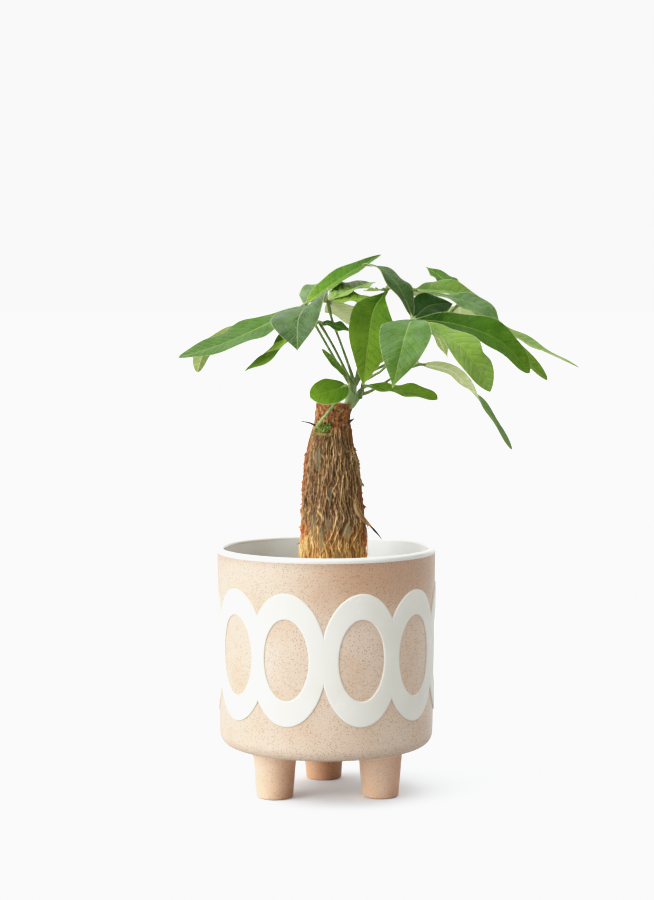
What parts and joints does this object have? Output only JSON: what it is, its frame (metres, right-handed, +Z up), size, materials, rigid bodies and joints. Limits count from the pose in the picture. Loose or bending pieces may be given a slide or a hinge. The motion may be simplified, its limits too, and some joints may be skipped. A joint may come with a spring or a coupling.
{
  "type": "potted money tree",
  "caption": "Small potted money tree: stout cut trunk with green shoots and drooping hand-shaped leaves, in a footed stoneware pot with a raised band of cream rings.",
  "frame": {"origin": "on the ground, under the middle of the whole plant's box; the pot's axis stands 39.5 mm to the left of it", "axes": "+Z up, +X to the viewer's right, the front with the two forward feet towards -Y"},
  "size_m": [0.2774, 0.1628, 0.3695],
  "materials": {
    "stoneware": "peach stoneware with fine brown specks under a clear satin glaze",
    "cream_glaze": "thick opaque cream glaze",
    "soil": "loose dark potting soil",
    "bark": "fibrous reddish-brown bark, peeling in strips",
    "stem": "smooth green shoot",
    "leaf": "waxy green leaf with a paler underside"
  },
  "bodies": {
    "root": {"pot": "stoneware", "ring_band": "cream_glaze", "soil": "soil", "trunk": "bark", "shoot_main": "stem", "shoot_side": "stem", "leaf_left": "leaf", "leaf_middle": "leaf", "leaf_front": "leaf", "leaf_right": "leaf", "leaf_back": "leaf", "leaf_far_right": "leaf", "leaf_low": "leaf", "leaf_small": "leaf", "leaf_single": "leaf", "leaf_young": "leaf", "leaf_round": "leaf"}
  },
  "joints": []
}
